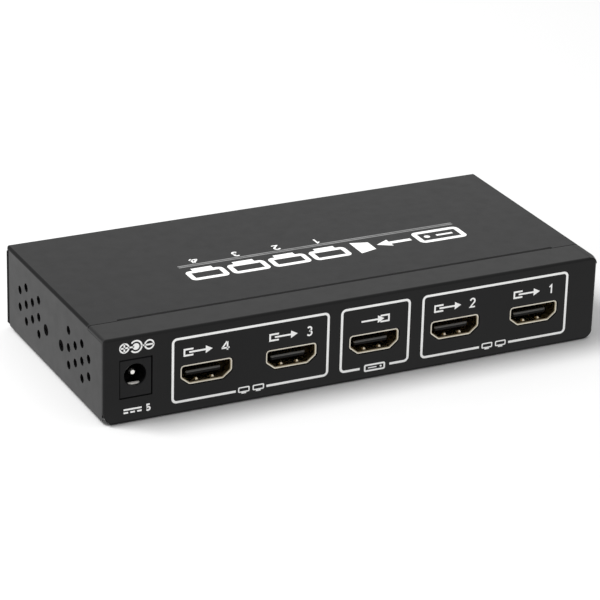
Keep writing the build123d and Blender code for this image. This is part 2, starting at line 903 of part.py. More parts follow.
def status_lamp(x):
    """Round lamp with a domed tip and a flange behind the far wall."""
    radius = lamp_diameter / 2
    dome_y = lamp_tip_y - radius
    dome = [
        (radius, lamp_flange_y),
        (radius, dome_y),
        (radius * lamp_shoulder_share, dome_y + lamp_shoulder),
        (radius * lamp_tip_share, lamp_tip_y),
    ]
    flange = small_bar_along_y(lamp_flange_diameter / 2, x, (lamp_rear_y, lamp_flange_y), lamp_height)
    return flange + faceted_along_y(x, lamp_height, dome)


def lamp_lead(x_limits, y_limits):
    """Square lead that leaves the lamp's flange and turns down through the board."""
    lead_y, knee_y = y_limits
    low, high = around(lamp_height, lamp_lead_width)
    elbow = [
        (lamp_rear_y, high),
        (lead_y, high),
        (lead_y, tail_end),
        (knee_y, tail_end),
        (knee_y, low),
        (lamp_rear_y, low),
    ]
    return across(polygon(elbow), x_limits)


def lead_section(edge, top, side):
    """Section (distance, height) of a gull-wing lead beyond one edge of the regulator."""
    knee = edge + regulator_lead_reach * lead_knee_share
    toe = edge + regulator_lead_reach
    thick = regulator_lead_thickness
    points = [
        (edge, top),
        (knee + thick, top),
        (knee + thick, thick),
        (toe, thick),
        (toe, 0),
        (knee, 0),
        (knee, top - thick),
        (edge, top - thick),
    ]
    return polygon([(side * distance, height) for distance, height in points])


def lead_row(count, pitch, width):
    """Limits of each lead along a chip's edge."""
    return [around((index - (count - 1) / 2) * pitch, width) for index in range(count)]


def flat_chip(length, width, height):
    """Chip that lies flat on its pads, at height zero about the origin."""
    body = block(around(0, length), around(0, width), (0, height))
    return chamfer(body.edges().group_by(Axis.Z)[-1], flat_chip_chamfer)


def board_x(width_share):
    return width_share * board_width - board_side_x


def board_y(length_share):
    return board_front_y + length_share * board_length


def on_board(x, y, part):
    return Pos(x, y, board_height) * part


def on_splitter(part):
    return on_board(board_x(splitter_x_share), board_y(splitter_y_share), part)


def build_splitter_chip():
    return on_splitter(flat_chip(splitter_size, splitter_size, splitter_height))


def build_memory_chip():
    chip = flat_chip(memory_length, memory_width, memory_height)
    return on_board(board_x(memory_x_share), board_y(memory_y_share), chip)


def line_protection_chip(x):
    """Small chip behind one socket that guards its lines."""
    y = insulator_rear_y + guard_gap + guard_width / 2
    return on_board(x, y, flat_chip(guard_length, guard_width, guard_height))


def build_thermal_pad():
    sides = around(0, splitter_size)
    return on_splitter(block(sides, sides, (splitter_height, splitter_height + pad_thickness)))


def build_heat_sink():
    """Square base with upright fins, on the pad above the splitter chip."""
    foot = splitter_height + pad_thickness
    sides = around(0, sink_size)
    base = block(sides, sides, (foot, foot + sink_base))
    fin_pitch = (sink_size - sink_fin_thickness) / (sink_fin_count - 1)
    first = (sink_fin_thickness - sink_size) / 2
    fins = [
        block(around(first + index * fin_pitch, sink_fin_thickness), sides, (foot, foot + sink_height))
        for index in range(sink_fin_count)
    ]
    return on_splitter(base + fins)


def build_voltage_regulator():
    """Power chip with three leads in front and one wide tab behind."""
    body_z = (regulator_lift, regulator_lift + regulator_height)
    body = block(around(0, regulator_length), around(0, regulator_width), body_z)
    body = chamfer(body.edges().group_by(Axis.Z)[-1], regulator_chamfer)
    top = regulator_lift + (regulator_height + regulator_lead_thickness) / 2
    edge = regulator_width / 2
    front = lead_section(edge, top, -1)
    leads = [
        across(front, limits)
        for limits in lead_row(regulator_lead_count, regulator_lead_pitch, regulator_lead_width)
    ]
    tab = across(lead_section(edge, top, 1), around(0, regulator_tab_width))
    return on_board(board_x(regulator_x_share), board_y(regulator_y_share), body + leads + tab)


def build_power_inductor():
    """Drum core between two square plates."""
    outline = Rectangle(inductor_size, inductor_size)
    outline = chamfer(outline.vertices(), inductor_corner_chamfer)
    plate = extrude(outline, amount=inductor_plate)
    core = extrude(small_round(inductor_core_diameter / 2), amount=inductor_height)
    upper = Pos(0, 0, inductor_height - inductor_plate) * plate
    return on_board(board_x(inductor_x_share), board_y(inductor_y_share), plate + core + upper)


def electrolytic_capacitor(x):
    """Upright can on a square base with two cut corners."""
    base = extrude(Rectangle(can_base_size, can_base_size), amount=can_base_thickness)
    cut_edges = base.edges().filter_by(Axis.Z).group_by(Axis.Y)[0]
    base = chamfer(cut_edges, can_base_chamfer)
    radius = can_diameter / 2
    can = faceted([(radius, 0), (radius, can_height - can_chamfer), (radius - can_chamfer, can_height)])
    return on_board(x, board_y(can_y_share), base + can)


def crystal_outline(grow):
    outline = Rectangle(crystal_length + 2 * grow, crystal_width + 2 * grow)
    return chamfer(outline.vertices(), crystal_end_chamfer + grow / 2)


def build_crystal():
    """Low metal can with narrowed ends on a thin flange."""
    can = extrude(crystal_outline(0), amount=crystal_height)
    can = chamfer(can.edges().group_by(Axis.Z)[-1], crystal_top_chamfer)
    flange = extrude(crystal_outline(crystal_flange), amount=crystal_flange_thickness)
    return on_board(board_x(crystal_x_share), board_y(crystal_y_share), can + flange)


def chip_row(count, pitch, x_share, y_share, size):
    """Row of plain two-ended chips on the board, centred at shares of its sides."""
    length, width, height = size
    first = board_x(x_share) - (count - 1) * pitch / 2
    body = block(around(0, length), around(0, width), (0, height))
    return [on_board(first + index * pitch, board_y(y_share), body) for index in range(count)]


def ceramic_capacitors():
    size = (ceramic_length, ceramic_width, ceramic_height)
    return chip_row(ceramic_count, ceramic_pitch, ceramic_x_share, ceramic_y_share, size)


def chip_resistors():
    size = (resistor_length, resistor_width, resistor_height)
    return chip_row(resistor_count, resistor_pitch, resistor_x_share, resistor_y_share, size)


def build_nodes():
    """Every sub-part under its own name: one solid, or a list of separate solids."""
    nodes = {
        "base_tray": build_base_tray(),
        "top_cover": build_top_cover(),
        "cover_screws": [cover_screw(side, y) for side, y in cover_screw_places()],
        "board_standoffs": [standoff(x, y) for x, y in standoff_places()],
        "board_screws": [board_screw(x, y) for x, y in standoff_places()],
        "circuit_board": build_circuit_board(),
    }
    for name, x in socket_places():
        nodes[name + "_socket_shell"] = socket_shell(x)
        nodes[name + "_socket_insulator"] = socket_insulator(x)
        nodes[name + "_socket_contacts"] = socket_contacts(x)
    nodes["power_jack_housing"] = build_power_jack_housing()
    nodes["power_jack_pin"] = build_power_jack_pin()
    nodes["power_jack_spring"] = build_power_jack_spring()
    nodes["power_jack_switch_contact"] = build_power_jack_switch_contact()
    for name, x in lamp_places():
        nodes[name + "_lamp"] = status_lamp(x)
    nodes["lamp_leads"] = [lamp_lead(*limits) for limits in lamp_legs()]
    nodes["splitter_chip"] = build_splitter_chip()
    nodes["thermal_pad"] = build_thermal_pad()
    nodes["heat_sink"] = build_heat_sink()
    nodes["memory_chip"] = build_memory_chip()
    nodes["line_protection_chips"] = [line_protection_chip(x) for name, x in socket_places()]
    nodes["voltage_regulator"] = build_voltage_regulator()
    nodes["power_inductor"] = build_power_inductor()
    can_places = [can_first_x + index * can_pitch for index in range(can_count)]
    nodes["electrolytic_capacitors"] = [electrolytic_capacitor(x) for x in can_places]
    nodes["crystal"] = build_crystal()
    nodes["ceramic_capacitors"] = ceramic_capacitors()
    nodes["chip_resistors"] = chip_resistors()
    return nodes


def write_parts():
    os.makedirs("parts", exist_ok=True)
    for name, shape in build_nodes().items():
        solids = shape if isinstance(shape, list) else [shape]
        whole = Compound([solid for each in solids for solid in each.solids()])
        export_step(whole, os.path.join("parts", name + ".step"))


write_parts()
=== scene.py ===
import json
import math

import bmesh
import bpy
from mathutils import Euler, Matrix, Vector


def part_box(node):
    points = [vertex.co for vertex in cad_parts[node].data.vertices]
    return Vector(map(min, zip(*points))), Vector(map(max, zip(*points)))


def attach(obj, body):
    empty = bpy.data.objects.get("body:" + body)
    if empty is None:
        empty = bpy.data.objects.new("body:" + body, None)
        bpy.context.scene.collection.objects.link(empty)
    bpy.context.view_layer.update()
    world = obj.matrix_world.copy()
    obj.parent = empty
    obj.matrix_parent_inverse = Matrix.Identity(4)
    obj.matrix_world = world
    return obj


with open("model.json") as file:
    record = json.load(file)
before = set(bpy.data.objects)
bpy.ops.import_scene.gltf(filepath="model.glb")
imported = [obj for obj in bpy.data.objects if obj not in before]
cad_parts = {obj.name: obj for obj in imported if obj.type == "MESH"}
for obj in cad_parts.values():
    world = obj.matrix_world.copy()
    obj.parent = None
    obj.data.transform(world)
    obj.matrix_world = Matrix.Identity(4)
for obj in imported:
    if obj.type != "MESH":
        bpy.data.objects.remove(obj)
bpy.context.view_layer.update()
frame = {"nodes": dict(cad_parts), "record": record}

# Lengths below are in millimetres, except where a comment says metres
mm = 0.001

# Faces of the case, the edges beside the seam on its top, and how far the painted light in the seam reaches
case_low, case_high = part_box("base_tray")
SIDE = case_high.x / mm
FRONT = case_low.y / mm
REAR = case_high.y / mm
TOP = case_high.z / mm
SHEET = 1.0
BAND_REAR = FRONT + 10.5
COVER_FRONT = BAND_REAR + 1.1
SEAM_HALF = 66.5

# Front end and upper side of the sockets' tongues
TONGUE_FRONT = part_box("output_1_socket_insulator")[0].y / mm
TONGUE_TOP = 10.95

# Grain: colour and gloss vary over patches that are so many grains across
COLOUR_PATCH = 40
GLOSS_PATCH = 12
PATCH_DETAIL = 3.0
GRAIN_DETAIL = 2.0
GRAIN_STRENGTH = 0.6
NOISE_RANGE = (0.3, 0.7)

# Specular levels
GLOSSY = 0.5
DULL = 0.03
SHADE_SPECULAR = 0.02


def socket_x(name):
    """Middle of a socket along the row."""
    low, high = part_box(name + "_socket_shell")
    return (low.x + high.x) / 2 / mm


# Shader nodes
def new_material(name):
    material = bpy.data.materials.new(name)
    material.use_nodes = True
    return material


def shader_of(material):
    return material.node_tree.nodes["Principled BSDF"]


def node(material, kind, **values):
    """New node with some of its properties set."""
    made = material.node_tree.nodes.new(kind)
    for key, value in values.items():
        setattr(made, key, value)
    return made


def link(material, source, target):
    material.node_tree.links.new(source, target)


def calculate(material, operation, *terms):
    """Math node's result; its terms are numbers or outputs of other nodes."""
    made = node(material, "ShaderNodeMath", operation=operation)
    for socket, term in zip(made.inputs, terms):
        if isinstance(term, float):
            socket.default_value = term
        else:
            link(material, term, socket)
    return made.outputs[0]


def map_range(material, factor, source, result):
    """Factor carried from a source range to a result range, and kept inside that."""
    ranged = node(material, "ShaderNodeMapRange")
    for name, value in zip(("From Min", "From Max", "To Min", "To Max"), (*source, *result)):
        ranged.inputs[name].default_value = value
    link(material, factor, ranged.inputs["Value"])
    return ranged.outputs["Result"]


def axes(material, vector):
    """Outputs X, Y and Z of a vector."""
    parts = node(material, "ShaderNodeSeparateXYZ")
    link(material, vector, parts.inputs["Vector"])
    return parts.outputs


def noise(material, size, detail=PATCH_DETAIL):
    """Noise whose grains are about size metres across, in object space."""
    place = node(material, "ShaderNodeTexCoord")
    grain = node(material, "ShaderNodeTexNoise")
    grain.inputs["Scale"].default_value = 1 / size
    grain.inputs["Detail"].default_value = detail
    link(material, place.outputs["Object"], grain.inputs["Vector"])
    return grain.outputs["Fac"]


def colour_mix(material, factor, colour):
    """Mix node that goes from its input A to a colour as the factor goes from 0 to 1."""
    mixed = node(material, "ShaderNodeMix", data_type="RGBA")
    mixed.inputs["B"].default_value = (*colour, 1)
    link(material, factor, mixed.inputs["Factor"])
    return mixed


def within(material, limits):
    """Mask of 1 where each named coordinate, or its absolute value, is between its limits."""
    place = node(material, "ShaderNodeTexCoord")
    sizes = axes(material, place.outputs["Object"])
    mask = None
    for axis, (low, high) in limits.items():
        size = sizes[axis[-1]]
        if axis.startswith("abs"):
            size = calculate(material, "ABSOLUTE", size)
        inside = calculate(material, "COMPARE", size, (low + high) / 2 * mm, (high - low) / 2 * mm)
        mask = inside if mask is None else calculate(material, "MULTIPLY", mask, inside)
    return mask


def facing(material, axis, start, full):
    """Mask that rises from 0 to 1 as the surface's normal goes from start to full along an axis."""
    geometry = node(material, "ShaderNodeNewGeometry")
    turn = axes(material, geometry.outputs["Normal"])[axis]
    return map_range(material, turn, (start, full), (0, 1))


def vary(material, setting, mask, outside, inside):
    """Another value of a shader setting where the mask is 1."""
    link(material, map_range(material, mask, (0, 1), (outside, inside)), shader_of(material).inputs[setting])


def paint(material, mask, colour):
    """Another base colour where the mask is 1."""
    base = shader_of(material).inputs["Base Color"]
    mixed = colour_mix(material, mask, colour)
    link(material, base.links[0].from_socket, mixed.inputs["A"])
    link(material, mixed.outputs["Result"], base)


def grey(level):
    return (level, level, level)


def surface(name, dark, light, roughness, grain, depth, settings):
    """Material with mottled colour, uneven gloss and a fine grain."""
    material = new_material(name)
    shader = shader_of(material)
    for setting, value in settings.items():
        shader.inputs[setting].default_value = value
    grain *= mm
    mottle = map_range(material, noise(material, grain * COLOUR_PATCH), NOISE_RANGE, (0, 1))
    colour = colour_mix(material, mottle, light)
    colour.inputs["A"].default_value = (*dark, 1)
    link(material, colour.outputs["Result"], shader.inputs["Base Color"])
    uneven = map_range(material, noise(material, grain * GLOSS_PATCH), NOISE_RANGE, roughness)
    link(material, uneven, shader.inputs["Roughness"])
    raised = node(material, "ShaderNodeBump")
    raised.inputs["Distance"].default_value = depth * mm
    raised.inputs["Strength"].default_value = GRAIN_STRENGTH
    link(material, noise(material, grain, GRAIN_DETAIL), raised.inputs["Height"])
    link(material, raised.outputs["Normal"], shader.inputs["Normal"])
    return material


# Finishes: darker and lighter colour, range of roughness, grain, depth of the bump, other shader settings
METAL = {"Metallic": 1.0}
CLEAR_COAT = {"Coat Weight": 0.3}
BLACK_STEEL = {"IOR": 1.08, "Specular IOR Level": 0.15}
POWDER_COAT = {"IOR": 1.30}
MOULDING = {"IOR": 1.29}
MATTE_MOULDING = {"IOR": 1.25}
FINISHES = {
    "case_coat": ((0.0036, 0.0036, 0.0038), (0.0046, 0.0046, 0.0048), (0.30, 0.36), 0.35, 0.004, POWDER_COAT),
    "black_screw_steel": (grey(0.001), grey(0.003), (0.5, 0.6), 0.15, 0.004, BLACK_STEEL),
    "zinc_plated_steel": ((0.50, 0.51, 0.53), (0.62, 0.63, 0.64), (0.3, 0.45), 0.2, 0.004, METAL),
    "nickel_screw_steel": ((0.55, 0.53, 0.49), (0.66, 0.64, 0.60), (0.2, 0.32), 0.2, 0.003, METAL),
    "board_laminate": ((0.008, 0.085, 0.035), (0.012, 0.12, 0.05), (0.25, 0.35), 0.3, 0.004, {}),
    "shell_plating": ((0.56, 0.52, 0.44), (0.70, 0.66, 0.57), (0.24, 0.36), 0.1, 0.002, METAL),
    "insulator_plastic": (grey(0.003), grey(0.006), (0.4, 0.55), 0.12, 0.003, MATTE_MOULDING),
    "contact_gold": ((0.72, 0.50, 0.20), (0.86, 0.62, 0.28), (0.2, 0.3), 0.08, 0.001, METAL),
    "jack_plastic": ((0.004, 0.004, 0.0045), (0.006, 0.006, 0.0065), (0.32, 0.42), 0.15, 0.003, MOULDING),
    "jack_nickel": ((0.80, 0.78, 0.74), (0.92, 0.90, 0.86), (0.12, 0.22), 0.1, 0.001, METAL),
    "lamp_red": ((0.45, 0.02, 0.015), (0.55, 0.04, 0.03), (0.12, 0.2), 0.3, 0.001, CLEAR_COAT),
    "lamp_green": ((0.05, 0.32, 0.07), (0.08, 0.42, 0.10), (0.12, 0.2), 0.3, 0.001, CLEAR_COAT),
    "tinned_lead": ((0.6, 0.6, 0.58), (0.72, 0.72, 0.7), (0.25, 0.4), 0.1, 0.002, METAL),
    "chip_plastic": ((0.010, 0.010, 0.011), (0.018, 0.018, 0.019), (0.5, 0.65), 0.12, 0.004, {}),
    "pad_silicone": ((0.18, 0.22, 0.27), (0.24, 0.28, 0.33), (0.6, 0.75), 0.2, 0.01, {}),
    "sink_aluminium": ((0.50, 0.51, 0.53), (0.6, 0.61, 0.63), (0.35, 0.5), 0.2, 0.004, METAL),
    "ferrite": ((0.025, 0.025, 0.027), (0.045, 0.045, 0.048), (0.6, 0.75), 0.2, 0.01, {}),
    "capacitor_can": ((0.6, 0.61, 0.63), (0.72, 0.73, 0.75), (0.25, 0.38), 0.15, 0.002, METAL),
    "crystal_can": ((0.62, 0.62, 0.63), (0.74, 0.74, 0.75), (0.22, 0.34), 0.15, 0.002, METAL),
    "ceramic_body": ((0.26, 0.17, 0.09), (0.36, 0.25, 0.15), (0.5, 0.65), 0.1, 0.004, {}),
    "resistor_body": ((0.012, 0.012, 0.014), (0.03, 0.03, 0.033), (0.25, 0.4), 0.1, 0.003, {}),
    "white_ink": ((0.88, 0.88, 0.87), (0.96, 0.96, 0.95), (0.42, 0.55), 0.12, 0.003, {}),
    "grey_ink": (grey(0.17), grey(0.24), (0.42, 0.55), 0.12, 0.003, {}),
}
materials = {name: surface(name, *finish) for name, finish in FINISHES.items()}
WHITE_INK = materials["white_ink"]

# Places where a finish changes, or where shade or light is painted: limits along the axes
# Painted shade: the far wall's cut ends, where a shadow gap stands, get the lowest specular level
CUT_END = {"abs X": (SIDE - 0.9, SIDE + 1.0), "Y": (REAR - 1.7, REAR + 0.5), "Z": (0.0, TOP - 0.7)}
# Painted shade: the side folds get a lower specular level, which darkens them
SIDE_FOLD = {
    "abs X": (SIDE - 0.8, SIDE + 1.0),
    "Y": (COVER_FRONT - 0.1, REAR + 0.5),
    "Z": (TOP - 0.7, TOP + 0.2),
}
BAND_TOP = {"Y": (FRONT - 0.5, BAND_REAR + 0.1), "Z": (TOP - 0.1, TOP + 0.1)}
# Painted light: the cover's front edge inside the seam's shaded gap is painted a lighter grey
SEAM_EDGE = {
    "X": (-SEAM_HALF, SEAM_HALF),
    "Y": (COVER_FRONT - 0.2, COVER_FRONT + 0.1),
    "Z": (TOP - 1.0, TOP - 0.03),
}
# Painted shade on the eased edges of the shells' mouths, where a dark gap runs round the rim
SHELL_RIM = {"Y": (-35.3, -34.9)}
# Painted highlight along the upper front edge of the sockets' tongues
TONGUE_EDGE = {"Y": (TONGUE_FRONT - 0.1, TONGUE_FRONT + 0.5), "Z": (TONGUE_TOP - 0.4, TONGUE_TOP + 0.1)}
# Painted shade on the contacts' front part, deep in the socket
CONTACT_SHADE_SPAN = {"Y": (-34.0, -27.0)}
COLLAR_FACE = {"X": (-70.28, -61.4), "Z": (7.7, 18.15)}
LEAF_END = {"Y": (-34.6, -33.7), "Z": (8.0, 12.5)}

# Turns of the surface where shade is painted or a finish changes: axis, and the normal along it at the start
# and in full
# Painted shade: faces turned downwards get a lower specular level
UNDERSIDE = ("Z", -0.02, -0.12)
SHELL_SIDES = ("Y", -0.9, -0.6)

# What the finish is there, or the painted shade or light
TURNED_SHADE_SHARE = 0.65
BAND_COLOUR = grey(0.0095)
# Lighter grey painted into the seam's gap as painted light
SEAM_PAINTED_LIGHT = grey(0.10)
WARM_PLATING = (0.72, 0.58, 0.34)
# Dark brown painted shade for the shells' mouths
RIM_PAINTED_SHADE = (0.12, 0.10, 0.06)
# Grey painted highlight on the tongues
TONGUE_PAINTED_HIGHLIGHT = grey(0.13)
# Dark brown painted shade for the contacts
CONTACT_PAINTED_SHADE = (0.22, 0.15, 0.06)


def shade_and_light_coat(material):
    """Satin coat with painted shade: lowest specular level on the far wall's cut ends, lower on folds and
    underside; a lighter grey band top; painted light in the seam.
    """
    turned = calculate(material, "MAXIMUM", within(material, SIDE_FOLD), facing(material, *UNDERSIDE))
    turned_shade = calculate(material, "MULTIPLY", turned, TURNED_SHADE_SHARE)
    # Painted shade: the lowered specular level darkens the cut ends, folds and underside
    dull = calculate(material, "MAXIMUM", within(material, CUT_END), turned_shade)
    vary(material, "Specular IOR Level", dull, GLOSSY, SHADE_SPECULAR)
    paint(material, within(material, BAND_TOP), BAND_COLOUR)
    # Painted light in the seam's gap
    paint(material, within(material, SEAM_EDGE), SEAM_PAINTED_LIGHT)


def warm_and_shade_plating(material):
    """Pale rim, warmer inside the shell, with painted shade on the eased edges of its mouth."""
    turned = facing(material, *SHELL_SIDES)
    paint(material, turned, WARM_PLATING)
    shaded_rim = calculate(material, "MULTIPLY", turned, within(material, SHELL_RIM))
    # Painted shade on the mouth's eased edges
    paint(material, shaded_rim, RIM_PAINTED_SHADE)


def highlight_tongue(material):
    """Black moulding with a painted highlight, a grey line, on the tongue's upper edge."""
    # Painted highlight on the tongue's upper edge
    paint(material, within(material, TONGUE_EDGE), TONGUE_PAINTED_HIGHLIGHT)


def shade_contacts(material):
    """Gold flash, darkened along the tongue with painted shade."""
    # Painted shade inside the socket
    paint(material, within(material, CONTACT_SHADE_SPAN), CONTACT_PAINTED_SHADE)


def shade_jack_gap(material):
    """Black moulding, glossy on the collar's face; low specular level elsewhere, the gap round it too, as
    painted shade.
    """
    # Painted shade: a low specular level outside the collar's face darkens the gap round it
    vary(material, "Specular IOR Level", within(material, COLLAR_FACE), DULL, GLOSSY)


def dull_leaf(material):
    """Bright nickel, dull on the leaf's front end."""
    vary(material, "Metallic", within(material, LEAF_END), 1.0, 0.0)


shade_and_light_coat(materials["case_coat"])
warm_and_shade_plating(materials["shell_plating"])
highlight_tongue(materials["insulator_plastic"])
shade_contacts(materials["contact_gold"])
shade_jack_gap(materials["jack_plastic"])
dull_leaf(materials["jack_nickel"])


def dress_nodes():
    """Give each CAD node the material of its slot."""
    for row in frame["record"]["subparts"]:
        slots = frame["nodes"][row["node"]].data.materials
        slots.clear()
        slots.append(materials[row["material_slot"]])


# Objects from mesh code
def show(name, mesh, material):
    """Scene object made from a bmesh, which is freed."""
    data = bpy.data.meshes.new(name)
    mesh.to_mesh(data)
    mesh.free()
    data.materials.append(material)
    shown = bpy.data.objects.new(name, data)
    bpy.context.scene.collection.objects.link(shown)
    return shown


def show_piece(name, mesh, material):
    """Closed piece of the part, with its faces turned outwards."""
    bmesh.ops.recalc_face_normals(mesh, faces=mesh.faces)
    piece = show(name, mesh, material)
    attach(piece, "root")


# Printed marks: thin closed plates, sunk a little into the face that carries them
INK_HEIGHT = 0.02
INK_SINK = 0.01
FRAME_LINE = 0.68
SIGN_LINE = 0.50
BAR_LINE = 0.46
ARC_STEPS = 8
DISC_STEPS = 32
MITRE_LIMIT = 0.5
ARROW_SPREAD = 0.55

# Where the top plate's print starts: it reads from the lamp side
TOP_PRINT_X = 49.0
TOP_PRINT_Y = 6.5


def on_front(u, v, height):
    return Vector((u, FRONT - height, v)) * mm


def on_top(u, v, height):
    return Vector((TOP_PRINT_X - u, TOP_PRINT_Y - v, TOP + height)) * mm


def plate_mesh(points, faces, place):
    """Closed plates from flat points; place turns (u, v, height) into a point in metres."""
    mesh = bmesh.new()
    lower = [mesh.verts.new(place(u, v, -INK_SINK)) for u, v in points]
    upper = [mesh.verts.new(place(u, v, INK_HEIGHT)) for u, v in points]
    sides = set()
    for face in faces:
        mesh.faces.new([upper[i] for i in face])
        mesh.faces.new([lower[i] for i in reversed(face)])
        sides.update(zip(face, face[1:] + face[:1]))
    for a, b in sides:
        if (b, a) not in sides:
            mesh.faces.new([lower[a], lower[b], upper[b], upper[a]])
    return mesh


def show_mark(name, shapes, place, material):
    """One printed mark from flat shapes, each its points and its faces."""
    points, faces = [], []
    for more_points, more_faces in shapes:
        start = len(points)
        points += more_points
        faces += [[start + i for i in face] for face in more_faces]
    show_piece(name, plate_mesh(points, faces, place), material)


def arc(centre, radius, start, end, steps=ARC_STEPS):
    """Points on an arc, angles in degrees."""
    angles = [math.radians(start + (end - start) * i / steps) for i in range(steps + 1)]
    return [(centre[0] + radius * math.cos(a), centre[1] + radius * math.sin(a)) for a in angles]


def ribbon(path, width, closed=False):
    """A line of even width along a path: its points and its faces."""
    spots = [Vector(spot) for spot in path]
    count = len(spots)
    steps = count if closed else count - 1
    ways = [(spots[(i + 1) % count] - spots[i]).normalized() for i in range(steps)]
    points = []
    for i, here in enumerate(spots):
        into = ways[i - 1] if closed or i else ways[0]
        out = ways[i % count] if closed or i < steps else ways[-1]
        along = (into + out).normalized()
        across = Vector((-along.y, along.x)) * (width / 2) / max(along.dot(out), MITRE_LIMIT)
        points += [tuple(here + across), tuple(here - across)]
    ends = [(2 * i, 2 * ((i + 1) % count)) for i in range(steps)]
    return points, [[a, a + 1, b + 1, b] for a, b in ends]


def filled(points):
    return points, [list(range(len(points)))]


def disc(centre, radius):
    return filled(arc(centre, radius, 0, 360, DISC_STEPS)[:-1])


def ring(centre, radius, width):
    return ribbon(arc(centre, radius, 0, 360, DISC_STEPS)[:-1], width, closed=True)


def line(start, end, width):
    return ribbon([start, end], width)


def rounded(left, right, low, high, radius):
    """Closed path of a rounded rectangle, from the middle of its lower line."""
    return (
        arc((right - radius, low + radius), radius, -90, 0)
        + arc((right - radius, high - radius), radius, 0, 90)
        + arc((left + radius, high - radius), radius, 90, 180)
        + arc((left + radius, low + radius), radius, 180, 270)
    )


def box_line(left, right, low, high, radius, width):
    return ribbon(rounded(left, right, low, high, radius), width, closed=True)


# Plain figures, one unit high
FIGURES = {
    "1": [[(0.12, 0.76), (0.38, 1.0), (0.38, 0.0)]],
    "2": [arc((0.32, 0.72), 0.28, 170, -30) + [(0.04, 0.0), (0.64, 0.0)]],
    "3": [arc((0.30, 0.76), 0.24, 150, -80), arc((0.30, 0.27), 0.28, 95, -150)],
    "4": [[(0.62, 0.0), (0.62, 1.0)], [(0.56, 1.0), (0.02, 0.30)], [(-0.06, 0.26), (0.86, 0.26)]],
    "5": [[(0.58, 1.0), (0.14, 1.0), (0.10, 0.50)] + arc((0.31, 0.32), 0.29, 130, -150)],
}


def figure(digit, x, y, height, width):
    """A figure as ribbons, its lower left corner at (x, y)."""
    size = height - width
    low = y + width / 2
    return [ribbon([(x + size * u, low + size * v) for u, v in path], width) for path in FIGURES[digit]]


def arrow(tail_x, tip_x, y, width, head):
    """Level arrow with a solid head."""
    way = 1 if tip_x > tail_x else -1
    neck = tip_x - way * head
    half = head * ARROW_SPREAD
    return [line((tail_x, y), (neck, y), width), filled([(neck, y + half), (tip_x, y), (neck, y - half)])]


# Small signs in the gap of a frame's lower line: how high they start, a screen's sizes, a player's sizes
SIGN_LOW = 2.6
SCREEN_APART = 4.3
SCREEN_HALF = 1.53
SCREEN_LIFT = 0.558
SCREEN_HEIGHT = 1.26
SCREEN_RADIUS = 0.225
SCREEN_FOOT_HALF = 0.72
SCREEN_LINE = 0.36
PLAYER_HALF = 3.0
PLAYER_HEIGHT = 1.7
PLAYER_RADIUS = 0.3
PLAYER_SLOT = (-2.0, 0.6)
PLAYER_SLOT_LINE = 0.3
PLAYER_LAMP = 1.9
PLAYER_LAMP_RADIUS = 0.3


def screen(x):
    """Small screen on a foot."""
    low = SIGN_LOW + SCREEN_LIFT
    foot_y = SIGN_LOW + SCREEN_LINE / 2
    outline = box_line(x - SCREEN_HALF, x + SCREEN_HALF, low, low + SCREEN_HEIGHT, SCREEN_RADIUS, SCREEN_LINE)
    return [outline, line((x - SCREEN_FOOT_HALF, foot_y), (x + SCREEN_FOOT_HALF, foot_y), SCREEN_LINE)]


def player(x):
    """Small player box with a slot and a lamp."""
    y = SIGN_LOW + PLAYER_HEIGHT / 2
    left, right = x - PLAYER_HALF, x + PLAYER_HALF
    body = box_line(left, right, SIGN_LOW, SIGN_LOW + PLAYER_HEIGHT, PLAYER_RADIUS, SIGN_LINE)
    slot = line((x + PLAYER_SLOT[0], y), (x + PLAYER_SLOT[1], y), PLAYER_SLOT_LINE)
    return [body, slot, disc((x + PLAYER_LAMP, y), PLAYER_LAMP_RADIUS)]


# Line frames: first and last socket with the reach past their middles, and the gap in the lower line
FRAME_LOW = 3.6
FRAME_HIGH = 21.9
FRAME_RADIUS = 1.2
FRAMES = {
    "left_frame": ("output_4", -9.9, "output_3", 10.85, (-36.7, -27.6)),
    "input_frame": ("input", -10.15, "input", 10.5, (0.65, 9.8)),
    "right_frame": ("output_2", -10.3, "output_1", 10.3, (38.0, 47.35)),
}


def show_frames():
    """Frames round the sockets, with two screens or a player in the gap."""
    for name, (first, left, last, right, gap) in FRAMES.items():
        corners = rounded(socket_x(first) + left, socket_x(last) + right, FRAME_LOW, FRAME_HIGH, FRAME_RADIUS)
        path = [(gap[1], FRAME_LOW)] + corners + [(gap[0], FRAME_LOW)]
        show_mark(name, [ribbon(path, FRAME_LINE)], on_front, WHITE_INK)
        middle = sum(gap) / 2
        if first == last:
            sign = player(middle)
        else:
            sign = screen(middle - SCREEN_APART / 2) + screen(middle + SCREEN_APART / 2)
        show_mark(name + "_sign", sign, on_front, WHITE_INK)


# Labels over the sockets: the box's closed and open side and the arrow's tail and tip, from the middle
LABEL_LOW = 16.5
LABEL_HEIGHT = 2.25
LABEL_HEAD = 2.0
OUTPUT_LABEL = (-6.6, -4.0, -5.2, 1.6)
INPUT_LABEL = (4.2, 1.6, -4.2, 2.8)
LABEL_FIGURE = 4.4
LABEL_FIGURE_RISE = 0.35


def label(x, closed, opened, tail, tip):
    """Three-sided box with an arrow out of it or into it."""
    low = LABEL_LOW + SIGN_LINE / 2
    high = LABEL_LOW + LABEL_HEIGHT - SIGN_LINE / 2
    box = ribbon([(x + opened, high), (x + closed, high), (x + closed, low), (x + opened, low)], SIGN_LINE)
    return [box, *arrow(x + tail, x + tip, (low + high) / 2, SIGN_LINE, LABEL_HEAD)]


